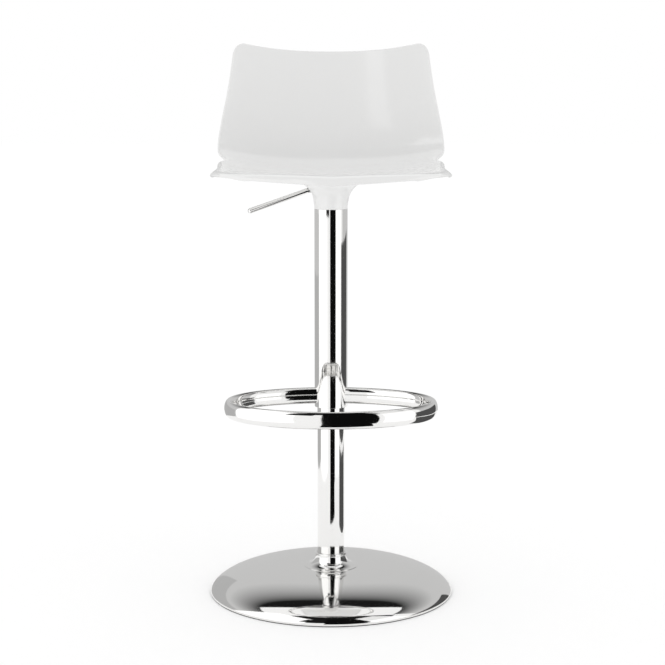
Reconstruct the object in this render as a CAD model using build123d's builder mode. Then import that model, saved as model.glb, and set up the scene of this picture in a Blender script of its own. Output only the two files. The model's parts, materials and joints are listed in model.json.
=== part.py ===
from build123d import *
import math
import os

# Adjustable swivel stool: a moulded bucket seat on a gas lift column with a footrest
# and a weighted round base. Millimetres, +Z up, the sitter faces -Y, and the origin is
# the middle of the base on the floor. The column is drawn at its full height.

os.makedirs("parts", exist_ok=True)

# ---- Base ----
base_radius = 225.0
dome_skin = 1.5
dome_rim_bottom = 1.5
dome_rim_top = 5.0
dome_shoulder_radius = base_radius - 16.8
dome_top = 47.0
dome_flat_radius = 52.0
dome_hole_radius = 27.0

floor_ring_inner_radius = base_radius - 18.0
floor_ring_lip_top = 4.0
floor_ring_shelf = 2.5
floor_ring_outer_radius = base_radius - 0.8

ballast_radius = base_radius - 7.0
ballast_edge_top = 8.0
ballast_flat_radius = base_radius - 25.0
ballast_top = 16.0
ballast_hole_radius = 22.0

flange_radius = 60.0
flange_thickness = 8.0
flange_bolt_circle = 42.0
flange_bolt_count = 4
flange_bolt_radius = 4.0
flange_bolt_clearance = 0.5
flange_bolt_flats = 13.0
flange_head_height = 5.3
flange_nut_height = 6.8
flange_thread_showing = 2.0
flange_washer_radius = 8.0
flange_washer_thickness = 1.6
ballast_counterbore_radius = 9.5
ballast_counterbore_depth = 7.0

spacer_inner_radius = 27.0
spacer_outer_radius = 30.0

collar_flare_radius = 50.0
collar_flare_edge = 0.8
collar_neck_radius = 28.0
collar_top = 69.0
trim_ring_radius = 29.5
trim_ring_height = 3.5

# ---- Column ----
lower_tube_radius = 25.0
lower_tube_wall = 2.0
lower_tube_top = 470.0
sleeve_radius = 30.0
sleeve_wall = 2.0
sleeve_bottom = 347.0
sleeve_top = 709.0
slide_fit = 0.05

end_plate_bottom = 30.0
end_plate_thickness = 5.0

liner_length = 140.0
top_bush_height = 26.0
top_bush_drop = 2.0
sleeve_bush_height = 28.0

# ---- Swivel bearing ----
bearing_inner_radius = 7.0
bearing_outer_radius = 14.0
bearing_pitch_radius = 10.5
race_thickness = 2.5
race_gap = 3.0
groove_radius = 2.5
ball_radius = 2.45
ball_count = 10
cage_thickness = 1.6
cage_side_gap = 0.6
cage_pocket_radius = 2.6

# ---- Gas lift ----
rod_radius = 5.0
rod_bottom = 24.0
rod_collar_radius = 8.0
rod_collar_height = 3.0
rod_groove_radius = 4.0
clip_thickness = 1.0
clip_radius = 8.0
clip_opening = 7.0
rod_washer_radius = 11.0
rod_washer_thickness = 1.8
thrust_gap = 0.2

cylinder_radius = 14.0
cylinder_wall = 2.0
cylinder_bottom = 385.0
cylinder_taper_start = 690.0
cylinder_top = 733.0
cylinder_top_radius = 13.0
cylinder_lip_radius = 8.0
valve_block_bottom = 700.0
rod_guide_height = 10.0
piston_height = 12.0
piston_stop_gap = 1.0
valve_pin_radius = 3.0
valve_pin_bottom = 708.0
valve_pin_top = 736.95

# ---- Footrest ----
footrest_half_width = 180.0
footrest_half_depth = 119.0
footrest_centre_y = -127.0
footrest_height = 368.2
footrest_tube_tall = 30.0
footrest_tube_deep = 15.0
footrest_tube_wall = 1.5

# ---- Seat mounting ----
top_ring_thickness = 12.0
hub_radius = 20.0
hub_bottom = 690.0
plate_radius = 41.0
plate_bottom = 749.0
plate_thickness = 4.0
seat_screw_circle = 31.0
seat_screw_count = 4
seat_screw_radius = 3.0
seat_screw_head_radius = 5.0
seat_screw_head_height = 3.3
seat_screw_length = 9.0
seat_washer_radius = 6.0
seat_washer_thickness = 1.2
seat_screw_clearance = 0.3
insert_radius = 4.5
insert_height = 7.0

neck_wall = 1.8
# Radius of the neck cover at each height, from the sleeve up to the seat.
neck_outline = [
    (29.9, 709.0),
    (30.2, 715.0),
    (31.8, 725.0),
    (33.6, 733.0),
    (37.2, 740.0),
    (42.8, 747.0),
    (50.4, 753.0),
]
neck_slot_width = 13.0
neck_slot_bottom = 731.0

# ---- Height lever ----
lever_radius = 4.75
lever_level = 742.0
lever_pivot_x = -30.0
lever_inner_x = 3.0
lever_elbow_x = -41.0
lever_tip_x = -150.0
lever_tip_z = 703.5
lever_elbow_bend = 9.0
hub_slot_width = 12.0
hub_slot_bottom = 733.4
ear_gap = 1.0
ear_thickness = 2.5
ear_half_width = 4.0
pivot_radius = 2.0
pivot_overhang = 1.2
pivot_fit = 0.1

# ---- Seat shell ----
shell_thickness = 5.0
shell_pad_radius = 51.0
shell_pad_flare = 62.0
shell_pad_shoulder = 759.5
shell_pad_top = 775.0
# Middle line of the sitting face as (y, z), from under the front lip to the top edge.
shell_middle_line = [
    (-213.5, 761.5),
    (-214.5, 767.5),
    (-209.0, 775.0),
    (-193.0, 778.5),
    (-150.0, 774.0),
    (-90.0, 768.0),
    (-20.0, 765.0),
    (40.0, 766.0),
    (88.0, 774.0),
    (118.0, 794.0),
    (134.0, 826.0),
    (147.0, 872.0),
    (159.0, 930.0),
    (170.0, 992.0),
]
# Side line of the sitting face as (x, y, z), one point beside each middle point.
shell_side_line = [
    (206.0, -183.0, 776.5),
    (206.5, -183.5, 778.5),
    (207.0, -180.0, 780.5),
    (208.0, -167.0, 783.0),
    (209.0, -130.0, 786.0),
    (209.5, -80.0, 787.5),
    (209.5, -20.0, 788.5),
    (209.5, 30.0, 791.0),
    (209.8, 62.0, 795.5),
    (209.8, 85.0, 806.0),
    (209.0, 102.0, 828.0),
    (202.3, 115.0, 870.0),
    (190.5, 130.0, 932.0),
    (180.0, 147.0, 1010.5),
]
# How far the shell rolls down towards its side edge beside each middle point.
shell_edge_drops = [1, 1.5, 3, 5, 11, 13, 13, 12, 7, 2, 0, 0, 0, 0]
shell_roll_width = 15.0
shell_lip_arch = 3.5
shell_lip_reach = 0.12
shell_edge_crowding = 1.6
shell_dish_power = 2.4
shell_rows = 56
shell_columns = 40
shell_surface_tolerance = 0.05
waist_depth_x = 194.5
waist_height = 793.5
waist_mouth_x = 208.5
waist_front_drop = 4.0
waist_back_rise = 9.0
waist_corner = 2.5
top_corner_radius = 18.0
front_corner_side_x = 209.8
front_corner_side_y = -120.0
front_corner_end_x = 135.0
front_corner_end_y = -206.5
front_corner_slope = 11.0

flange_top = ballast_top + flange_thickness
sleeve_bore_radius = sleeve_radius - sleeve_wall
lower_bore_radius = lower_tube_radius - lower_tube_wall
cylinder_bore_radius = cylinder_radius - cylinder_wall
lower_race_bottom = end_plate_bottom + end_plate_thickness
lower_race_top = lower_race_bottom + race_thickness
ball_level = lower_race_top + race_gap / 2
upper_race_bottom = lower_race_top + race_gap
upper_race_top = upper_race_bottom + race_thickness
rod_guide_bottom = cylinder_bottom + cylinder_wall
rod_guide_top = rod_guide_bottom + rod_guide_height
piston_bottom = rod_guide_top + piston_stop_gap
piston_top = piston_bottom + piston_height
rod_washer_top = end_plate_bottom - thrust_gap
clip_top = rod_washer_top - rod_washer_thickness
collar_bottom = dome_top
plate_top = plate_bottom + plate_thickness
seat_washer_bottom = plate_bottom - seat_washer_thickness


def ring_face(outer, inner, height):
    """Flat ring about the column axis at one height."""
    with BuildSketch(Plane.XY.offset(height)) as ring:
        Circle(outer)
        Circle(inner, mode=Mode.SUBTRACT)
    return ring.sketch


def half_section(corners):
    """Closed half section in the plane through the column axis, ready to turn."""
    with BuildSketch(Plane.XZ) as half:
        with BuildLine():
            Polyline(*corners, close=True)
        make_face()
    return half.sketch


# ======== Base ========

# Pressed dome: one skin turned about the column, with a short upright rim.
with BuildPart() as base_dome:
    with BuildSketch(Plane.XZ):
        with BuildLine():
            Bezier(
                (base_radius, dome_rim_top),
                (base_radius, dome_rim_top + 0.55),
                (dome_shoulder_radius, dome_top),
                (dome_flat_radius, dome_top),
            )
            Polyline(
                (dome_flat_radius, dome_top),
                (dome_hole_radius, dome_top),
                (dome_hole_radius, dome_top - dome_skin),
                (dome_flat_radius, dome_top - dome_skin),
            )
            Bezier(
                (dome_flat_radius, dome_top - dome_skin),
                (dome_shoulder_radius - dome_skin / 2, dome_top - dome_skin),
                (base_radius - dome_skin, dome_rim_top),
                (base_radius - dome_skin, dome_rim_top - 0.6),
            )
            Polyline(
                (base_radius - dome_skin, dome_rim_top - 0.6),
                (base_radius - dome_skin, dome_rim_bottom),
                (base_radius, dome_rim_bottom),
                (base_radius, dome_rim_top),
            )
        make_face()
    revolve(axis=Axis.Z)
base_dome.part.label = "base_dome"
export_step(base_dome.part, "parts/base_dome.step")

# Rubber floor ring: the dome's rim stands on its outer lip, the ballast on its shelf.
floor_ring_section = half_section(
    [
        (floor_ring_inner_radius, 0),
        (floor_ring_outer_radius, 0),
        (floor_ring_outer_radius, dome_rim_bottom),
        (base_radius - dome_skin, dome_rim_bottom),
        (base_radius - dome_skin, floor_ring_lip_top),
        (base_radius - dome_skin - 2, floor_ring_lip_top),
        (base_radius - dome_skin - 2, floor_ring_shelf),
        (floor_ring_inner_radius, floor_ring_shelf),
    ]
)
with BuildPart() as floor_ring:
    revolve(floor_ring_section, axis=Axis.Z)
floor_ring.part.label = "floor_ring"
export_step(floor_ring.part, "parts/floor_ring.step")

# Cast ballast disc, bored for the column and counterbored from below for the bolts.
ballast_section = half_section(
    [
        (ballast_hole_radius, floor_ring_shelf),
        (ballast_radius, floor_ring_shelf),
        (ballast_radius, ballast_edge_top),
        (ballast_flat_radius, ballast_top),
        (ballast_hole_radius, ballast_top),
    ]
)
with BuildPart() as ballast_disc:
    revolve(ballast_section, axis=Axis.Z)
    with BuildSketch(Plane.XY.offset(floor_ring_shelf)):
        with PolarLocations(flange_bolt_circle, flange_bolt_count):
            Circle(flange_bolt_radius + flange_bolt_clearance)
    extrude(amount=ballast_top, mode=Mode.SUBTRACT)
    with BuildSketch(Plane.XY.offset(floor_ring_shelf)):
        with PolarLocations(flange_bolt_circle, flange_bolt_count):
            Circle(ballast_counterbore_radius)
    extrude(amount=ballast_counterbore_depth, mode=Mode.SUBTRACT)
ballast_disc.part.label = "ballast_disc"
export_step(ballast_disc.part, "parts/ballast_disc.step")

# Steel flange the lower tube is welded into.
flange_face = ring_face(flange_radius, lower_tube_radius, ballast_top)
with BuildPart() as column_flange:
    extrude(flange_face, amount=flange_thickness)
    with BuildSketch(Plane.XY.offset(ballast_top)):
        with PolarLocations(flange_bolt_circle, flange_bolt_count):
            Circle(flange_bolt_radius + flange_bolt_clearance)
    extrude(amount=flange_thickness, mode=Mode.SUBTRACT)
column_flange.part.label = "column_flange"
export_step(column_flange.part, "parts/column_flange.step")

# Four bolts up through the ballast and the flange.
counterbore_top = floor_ring_shelf + ballast_counterbore_depth
lower_washer_bottom = counterbore_top - flange_washer_thickness
head_bottom = lower_washer_bottom - flange_head_height
nut_bottom = flange_top + flange_washer_thickness
nut_top = nut_bottom + flange_nut_height
with BuildPart() as flange_bolts:
    with BuildSketch(Plane.XY.offset(head_bottom)):
        with PolarLocations(flange_bolt_circle, flange_bolt_count):
            RegularPolygon(flange_bolt_flats / 2, 6, major_radius=False)
    extrude(amount=flange_head_height)
    with BuildSketch(Plane.XY.offset(lower_washer_bottom)):
        with PolarLocations(flange_bolt_circle, flange_bolt_count):
            Circle(flange_bolt_radius)
    extrude(amount=nut_top + flange_thread_showing - lower_washer_bottom)
flange_bolts.part.label = "flange_bolts"
export_step(flange_bolts.part, "parts/flange_bolts.step")

# A washer under each bolt head and under each nut.
with BuildPart() as flange_washers:
    for washer_level in (lower_washer_bottom, flange_top):
        with BuildSketch(Plane.XY.offset(washer_level)):
            with PolarLocations(flange_bolt_circle, flange_bolt_count):
                Circle(flange_washer_radius)
                Circle(flange_bolt_radius, mode=Mode.SUBTRACT)
        extrude(amount=flange_washer_thickness)
flange_washers.part.label = "flange_washers"
export_step(flange_washers.part, "parts/flange_washers.step")

with BuildPart() as flange_nuts:
    with BuildSketch(Plane.XY.offset(nut_bottom)):
        with PolarLocations(flange_bolt_circle, flange_bolt_count):
            RegularPolygon(flange_bolt_flats / 2, 6, major_radius=False)
            Circle(flange_bolt_radius, mode=Mode.SUBTRACT)
    extrude(amount=flange_nut_height)
flange_nuts.part.label = "flange_nuts"
export_step(flange_nuts.part, "parts/flange_nuts.step")

# Spacer that holds up the middle of the dome.
spacer_face = ring_face(spacer_outer_radius, spacer_inner_radius, flange_top)
with BuildPart() as dome_spacer:
    extrude(spacer_face, amount=dome_top - dome_skin - flange_top)
dome_spacer.part.label = "dome_spacer"
export_step(dome_spacer.part, "parts/dome_spacer.step")

# Trumpet-shaped collar where the column leaves the dome.
with BuildPart() as foot_collar:
    with BuildSketch(Plane.XZ):
        with BuildLine():
            Polyline(
                (collar_neck_radius, collar_top),
                (lower_tube_radius, collar_top),
                (lower_tube_radius, collar_bottom),
                (collar_flare_radius, collar_bottom),
                (collar_flare_radius, collar_bottom + collar_flare_edge),
            )
            Bezier(
                (collar_flare_radius, collar_bottom + collar_flare_edge),
                (collar_neck_radius + 9, collar_bottom + collar_flare_edge + 0.4),
                (collar_neck_radius + 0.4, collar_bottom + 8),
                (collar_neck_radius, collar_top),
            )
        make_face()
    revolve(axis=Axis.Z)
foot_collar.part.label = "foot_collar"
export_step(foot_collar.part, "parts/foot_collar.step")

trim_face = ring_face(trim_ring_radius, lower_tube_radius, collar_top)
with BuildPart() as collar_trim_ring:
    extrude(trim_face, amount=trim_ring_height)
    fillet(collar_trim_ring.edges().group_by(SortBy.LENGTH)[-1], radius=1.0)
collar_trim_ring.part.label = "collar_trim_ring"
export_step(collar_trim_ring.part, "parts/collar_trim_ring.step")

# ======== Column, fixed half ========

lower_tube_face = ring_face(lower_tube_radius, lower_bore_radius, ballast_top)
with BuildPart() as lower_tube:
    extrude(lower_tube_face, amount=lower_tube_top - ballast_top)
lower_tube.part.label = "lower_tube"
export_step(lower_tube.part, "parts/lower_tube.step")

# Plate welded across the lower tube: it carries the rod through the swivel bearing.
end_plate_face = ring_face(lower_bore_radius, rod_radius + slide_fit, end_plate_bottom)
with BuildPart() as tube_end_plate:
    extrude(end_plate_face, amount=end_plate_thickness)
tube_end_plate.part.label = "tube_end_plate"
export_step(tube_end_plate.part, "parts/tube_end_plate.step")

# Plastic liner that guides the gas cylinder in the top of the lower tube.
liner_face = ring_face(
    lower_bore_radius, cylinder_radius + slide_fit, lower_tube_top - liner_length
)
with BuildPart() as tube_guide_liner:
    extrude(liner_face, amount=liner_length)
tube_guide_liner.part.label = "tube_guide_liner"
export_step(tube_guide_liner.part, "parts/tube_guide_liner.step")

# Plastic bush round the top of the lower tube, running in the sleeve.
top_bush_bottom = lower_tube_top - top_bush_drop - top_bush_height
top_bush_face = ring_face(
    sleeve_bore_radius - slide_fit, lower_tube_radius, top_bush_bottom
)
with BuildPart() as tube_top_bush:
    extrude(top_bush_face, amount=top_bush_height)
tube_top_bush.part.label = "tube_top_bush"
export_step(tube_top_bush.part, "parts/tube_top_bush.step")

# ======== Swivel bearing ========

lower_race_face = ring_face(
    bearing_outer_radius, bearing_inner_radius, lower_race_bottom
)
with BuildPart() as bearing_lower_race:
    extrude(lower_race_face, amount=race_thickness)
    with Locations((0, 0, ball_level)):
        Torus(bearing_pitch_radius, groove_radius, mode=Mode.SUBTRACT)
bearing_lower_race.part.label = "bearing_lower_race"
export_step(bearing_lower_race.part, "parts/bearing_lower_race.step")

upper_race_face = ring_face(
    bearing_outer_radius, bearing_inner_radius, upper_race_bottom
)
with BuildPart() as bearing_upper_race:
    extrude(upper_race_face, amount=race_thickness)
    with Locations((0, 0, ball_level)):
        Torus(bearing_pitch_radius, groove_radius, mode=Mode.SUBTRACT)
bearing_upper_race.part.label = "bearing_upper_race"
export_step(bearing_upper_race.part, "parts/bearing_upper_race.step")

with BuildPart() as bearing_balls:
    with Locations((0, 0, ball_level)):
        with PolarLocations(bearing_pitch_radius, ball_count):
            Sphere(ball_radius)
bearing_balls.part.label = "bearing_balls"
export_step(bearing_balls.part, "parts/bearing_balls.step")

cage_face = ring_face(
    bearing_outer_radius - cage_side_gap,
    bearing_inner_radius + cage_side_gap,
    ball_level - cage_thickness / 2,
)
with BuildPart() as bearing_cage:
    extrude(cage_face, amount=cage_thickness)
    with BuildSketch(Plane.XY.offset(ball_level - cage_thickness / 2)):
        with PolarLocations(bearing_pitch_radius, ball_count):
            Circle(cage_pocket_radius)
    extrude(amount=cage_thickness, mode=Mode.SUBTRACT)
bearing_cage.part.label = "bearing_cage"
export_step(bearing_cage.part, "parts/bearing_cage.step")

# ======== Gas lift ========

# Piston rod: its collar stands on the bearing, its lower end is held by a clip.
rod_section = half_section(
    [
        (0, rod_bottom),
        (rod_radius, rod_bottom),
        (rod_radius, clip_top - clip_thickness),
        (rod_groove_radius, clip_top - clip_thickness),
        (rod_groove_radius, clip_top),
        (rod_radius, clip_top),
        (rod_radius, upper_race_top),
        (rod_collar_radius, upper_race_top),
        (rod_collar_radius, upper_race_top + rod_collar_height),
        (rod_radius, upper_race_top + rod_collar_height),
        (rod_radius, piston_top),
        (0, piston_top),
    ]
)
with BuildPart() as piston_rod:
    revolve(rod_section, axis=Axis.Z)
piston_rod.part.label = "piston_rod"
export_step(piston_rod.part, "parts/piston_rod.step")

rod_washer_face = ring_face(rod_washer_radius, rod_radius, clip_top)
with BuildPart() as rod_washer:
    extrude(rod_washer_face, amount=rod_washer_thickness)
rod_washer.part.label = "rod_washer"
export_step(rod_washer.part, "parts/rod_washer.step")

# Open clip sprung into the rod's groove.
clip_face = ring_face(clip_radius, rod_groove_radius, clip_top - clip_thickness)
with BuildPart() as rod_clip:
    extrude(clip_face, amount=clip_thickness)
    with BuildSketch(Plane.XY.offset(clip_top - clip_thickness)):
        with Locations((clip_radius, 0)):
            Rectangle(clip_radius * 2, clip_opening)
    extrude(amount=clip_thickness, mode=Mode.SUBTRACT)
rod_clip.part.label = "rod_clip"
export_step(rod_clip.part, "parts/rod_clip.step")

piston_face = ring_face(cylinder_bore_radius - slide_fit, rod_radius, piston_bottom)
with BuildPart() as piston:
    extrude(piston_face, amount=piston_height)
piston.part.label = "piston"
export_step(piston.part, "parts/piston.step")

cylinder_section = half_section(
    [
        (cylinder_lip_radius, cylinder_bottom),
        (cylinder_radius, cylinder_bottom),
        (cylinder_radius, cylinder_taper_start),
        (cylinder_top_radius, cylinder_top),
        (valve_pin_radius + slide_fit, cylinder_top),
        (valve_pin_radius + slide_fit, valve_block_bottom),
        (cylinder_bore_radius, valve_block_bottom),
        (cylinder_bore_radius, rod_guide_bottom),
        (cylinder_lip_radius, rod_guide_bottom),
    ]
)
with BuildPart() as gas_cylinder:
    revolve(cylinder_section, axis=Axis.Z)
gas_cylinder.part.label = "gas_cylinder"
export_step(gas_cylinder.part, "parts/gas_cylinder.step")

rod_guide_face = ring_face(
    cylinder_bore_radius, rod_radius + slide_fit, rod_guide_bottom
)
with BuildPart() as rod_guide:
    extrude(rod_guide_face, amount=rod_guide_height)
rod_guide.part.label = "rod_guide"
export_step(rod_guide.part, "parts/rod_guide.step")

with BuildPart() as valve_pin:
    with BuildSketch(Plane.XY.offset(valve_pin_bottom)):
        Circle(valve_pin_radius)
    extrude(amount=valve_pin_top - valve_pin_bottom)
    chamfer(valve_pin.edges(), length=0.6)
valve_pin.part.label = "valve_pin"
export_step(valve_pin.part, "parts/valve_pin.step")

# ======== Column, sliding half ========

sleeve_face = ring_face(sleeve_radius, sleeve_bore_radius, sleeve_bottom)
with BuildPart() as sleeve_tube:
    extrude(sleeve_face, amount=sleeve_top - sleeve_bottom)
sleeve_tube.part.label = "sleeve_tube"
export_step(sleeve_tube.part, "parts/sleeve_tube.step")

sleeve_bush_face = ring_face(
    sleeve_bore_radius, lower_tube_radius + slide_fit, sleeve_bottom
)
with BuildPart() as sleeve_guide_bush:
    extrude(sleeve_bush_face, amount=sleeve_bush_height)
sleeve_guide_bush.part.label = "sleeve_guide_bush"
export_step(sleeve_guide_bush.part, "parts/sleeve_guide_bush.step")

top_ring_face = ring_face(
    sleeve_bore_radius, hub_radius, sleeve_top - top_ring_thickness
)
with BuildPart() as sleeve_top_ring:
    extrude(top_ring_face, amount=top_ring_thickness)
sleeve_top_ring.part.label = "sleeve_top_ring"
export_step(sleeve_top_ring.part, "parts/sleeve_top_ring.step")

# ======== Footrest ========

# Oval tube bent to an oval loop; its back is cut away where the sleeve stands and its
# two coped ends are welded there.
loop_plane = Plane.XY.offset(footrest_height)
with BuildPart() as footrest_ring:
    with BuildLine(loop_plane):
        loop = EllipticalCenterArc(
            (0, footrest_centre_y),
            footrest_half_width,
            footrest_half_depth,
            start_angle=0,
            arc_size=360,
        )
    with BuildSketch(Plane(origin=loop @ 0, x_dir=(1, 0, 0), z_dir=loop % 0)):
        Ellipse(footrest_tube_deep / 2, footrest_tube_tall / 2)
    sweep()
    with BuildSketch(Plane(origin=loop @ 0, x_dir=(1, 0, 0), z_dir=loop % 0)):
        Ellipse(
            footrest_tube_deep / 2 - footrest_tube_wall,
            footrest_tube_tall / 2 - footrest_tube_wall,
        )
    sweep(path=loop, mode=Mode.SUBTRACT)
    with Locations((0, 0, footrest_height)):
        Cylinder(sleeve_radius, footrest_tube_tall * 2, mode=Mode.SUBTRACT)
footrest_ring.part.label = "footrest_ring"
export_step(footrest_ring.part, "parts/footrest_ring.step")

# ======== Seat mounting ========

# Tapered socket that seizes the top of the gas cylinder, slotted for the lever.
hub_section = half_section(
    [
        (cylinder_radius, hub_bottom),
        (hub_radius, hub_bottom),
        (hub_radius, plate_bottom),
        (cylinder_top_radius, plate_bottom),
        (cylinder_top_radius, cylinder_top),
    ]
)
with BuildPart() as seat_hub:
    revolve(hub_section, axis=Axis.Z)
    with BuildSketch(Plane.XY.offset(hub_slot_bottom)):
        with Locations((-hub_radius, 0)):
            Rectangle(hub_radius * 2, hub_slot_width)
    extrude(amount=plate_bottom - hub_slot_bottom, mode=Mode.SUBTRACT)
seat_hub.part.label = "seat_hub"
export_step(seat_hub.part, "parts/seat_hub.step")

with BuildPart() as seat_plate:
    with BuildSketch(Plane.XY.offset(plate_bottom)):
        Circle(plate_radius)
        with PolarLocations(seat_screw_circle, seat_screw_count, start_angle=45):
            Circle(seat_screw_radius + seat_screw_clearance, mode=Mode.SUBTRACT)
    extrude(amount=plate_thickness)
seat_plate.part.label = "seat_plate"
export_step(seat_plate.part, "parts/seat_plate.step")

with BuildPart() as seat_washers:
    with BuildSketch(Plane.XY.offset(seat_washer_bottom)):
        with PolarLocations(seat_screw_circle, seat_screw_count, start_angle=45):
            Circle(seat_washer_radius)
            Circle(seat_screw_radius, mode=Mode.SUBTRACT)
    extrude(amount=seat_washer_thickness)
seat_washers.part.label = "seat_washers"
export_step(seat_washers.part, "parts/seat_washers.step")

with BuildPart() as seat_screws:
    with BuildSketch(Plane.XY.offset(seat_washer_bottom)):
        with PolarLocations(seat_screw_circle, seat_screw_count, start_angle=45):
            Circle(seat_screw_radius)
    extrude(amount=seat_screw_length + seat_washer_thickness)
    with BuildSketch(Plane.XY.offset(seat_washer_bottom - seat_screw_head_height)):
        with PolarLocations(seat_screw_circle, seat_screw_count, start_angle=45):
            Circle(seat_screw_head_radius)
            RegularPolygon(2, 6, major_radius=False, mode=Mode.SUBTRACT)
    extrude(amount=seat_screw_head_height)
seat_screws.part.label = "seat_screws"
export_step(seat_screws.part, "parts/seat_screws.step")

with BuildPart() as seat_inserts:
    with BuildSketch(Plane.XY.offset(plate_top)):
        with PolarLocations(seat_screw_circle, seat_screw_count, start_angle=45):
            Circle(insert_radius)
            Circle(seat_screw_radius, mode=Mode.SUBTRACT)
    extrude(amount=insert_height)
seat_inserts.part.label = "seat_inserts"
export_step(seat_inserts.part, "parts/seat_inserts.step")

# Flared plastic cover between the sleeve and the seat, slotted for the lever.
neck_inside = [(radius - neck_wall, height) for radius, height in neck_outline]
with BuildPart() as neck_cover:
    with BuildSketch(Plane.XZ):
        with BuildLine():
            Spline(*neck_outline)
            Line(neck_outline[-1], neck_inside[-1])
            Spline(*reversed(neck_inside))
            Line(neck_inside[0], neck_outline[0])
        make_face()
    revolve(axis=Axis.Z)
    with BuildSketch(Plane.XY.offset(neck_slot_bottom)):
        with Locations((-neck_outline[-1][0], 0)):
            Rectangle(neck_outline[-1][0], neck_slot_width)
    extrude(amount=plate_bottom - neck_slot_bottom, mode=Mode.SUBTRACT)
neck_cover.part.label = "neck_cover"
export_step(neck_cover.part, "parts/neck_cover.step")

# ======== Height lever ========

ear_inner_y = lever_radius + ear_gap
with BuildPart() as lever_ears:
    for ear_start in (-ear_inner_y, ear_inner_y + ear_thickness):
        with BuildSketch(Plane.XZ.offset(-ear_start)):
            with Locations((lever_pivot_x, lever_level)):
                Circle(ear_half_width)
            with Locations((lever_pivot_x, (lever_level + plate_bottom) / 2)):
                Rectangle(2 * ear_half_width, plate_bottom - lever_level)
            with Locations((lever_pivot_x, lever_level)):
                Circle(pivot_radius, mode=Mode.SUBTRACT)
        extrude(amount=ear_thickness)
lever_ears.part.label = "lever_ears"
export_step(lever_ears.part, "parts/lever_ears.step")

pivot_half_length = ear_inner_y + ear_thickness + pivot_overhang
with BuildPart() as lever_pivot:
    with BuildSketch(Plane.XZ.offset(-pivot_half_length)):
        with Locations((lever_pivot_x, lever_level)):
            Circle(pivot_radius)
    extrude(amount=2 * pivot_half_length)
lever_pivot.part.label = "lever_pivot"
export_step(lever_pivot.part, "parts/lever_pivot.step")

# Round bar: level inside the neck, then bent down to the grip end.
with BuildPart() as release_lever:
    with BuildLine(Plane.XZ) as lever_path:
        FilletPolyline(
            (lever_inner_x, lever_level),
            (lever_elbow_x, lever_level),
            (lever_tip_x, lever_tip_z),
            radius=lever_elbow_bend,
        )
    lever_start = (lever_inner_x, 0, lever_level)
    with BuildSketch(Plane(origin=lever_start, z_dir=(-1, 0, 0))):
        Circle(lever_radius)
    sweep()
    fillet(release_lever.edges().sort_by(Axis.X)[0], radius=1.5)
    fillet(release_lever.edges().sort_by(Axis.X)[-1], radius=0.8)
    with BuildSketch(Plane.XZ.offset(-lever_radius - 1)):
        with Locations((lever_pivot_x, lever_level)):
            Circle(pivot_radius + pivot_fit / 2)
    extrude(amount=2 * lever_radius + 2, mode=Mode.SUBTRACT)
release_lever.part.label = "release_lever"
export_step(release_lever.part, "parts/release_lever.step")

# ======== Seat shell ========


def line_stations(points):
    """How far along the line each point lies, as shares of its whole length."""
    travelled = [0.0]
    for start, end in zip(points, points[1:]):
        travelled.append(travelled[-1] + math.dist(start, end))
    return [distance / travelled[-1] for distance in travelled]


def sitting_face():
    """Smooth face of the shell that the sitter touches, before its outline is cut."""
    stations = line_stations(shell_middle_line)
    middle = Edge.make_spline(
        [Vector(0, y, z) for y, z in shell_middle_line], parameters=stations
    )
    side = Edge.make_spline(
        [Vector(*point) for point in shell_side_line], parameters=stations
    )
    drops = Edge.make_spline(
        [Vector(0, 100 * at, drop) for at, drop in zip(stations, shell_edge_drops)],
        parameters=stations,
    )
    rows = []
    for row_number in range(shell_rows + 1):
        share = row_number / shell_rows
        low = middle.position_at(share, position_mode=PositionMode.PARAMETER)
        high = side.position_at(share, position_mode=PositionMode.PARAMETER)
        drop = drops.position_at(share, position_mode=PositionMode.PARAMETER).Z
        lift = shell_lip_arch * max(0, 1 - share / shell_lip_reach) ** 2
        row = []
        for column_number in range(shell_columns + 1):
            even = 2 * column_number / shell_columns - 1
            # Columns crowd together towards both edges, where the shell rolls over.
            across = math.copysign(1 - (1 - abs(even)) ** shell_edge_crowding, even)
            dish = abs(across) ** shell_dish_power
            rolled = max(0, 1 - high.X * (1 - abs(across)) / shell_roll_width)
            row.append(
                Vector(
                    high.X * across,
                    low.Y + (high.Y - low.Y) * dish,
                    low.Z
                    + (high.Z - low.Z) * dish
                    + lift * math.sin(math.pi * abs(across))
                    - drop * rolled**2,
                )
            )
        rows.append(row)
    return Face.make_surface_from_array_of_points(rows, tol=shell_surface_tolerance)


outside_x = front_corner_side_x + 60
shell_face = sitting_face()

# Round pad that flares into the underside and ends halfway through the shell.
with BuildPart() as shell_pad:
    with BuildSketch(Plane.XZ):
        with BuildLine():
            Polyline(
                (0, shell_pad_top),
                (0, plate_top),
                (shell_pad_radius, plate_top),
                (shell_pad_flare, shell_pad_shoulder),
                (shell_pad_flare, shell_pad_top),
                close=True,
            )
        make_face()
    revolve(axis=Axis.Z)
    thicken(shell_face, amount=plate_top - shell_pad_top, mode=Mode.SUBTRACT)
    thicken(shell_face, amount=shell_thickness / 2, mode=Mode.SUBTRACT)

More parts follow.
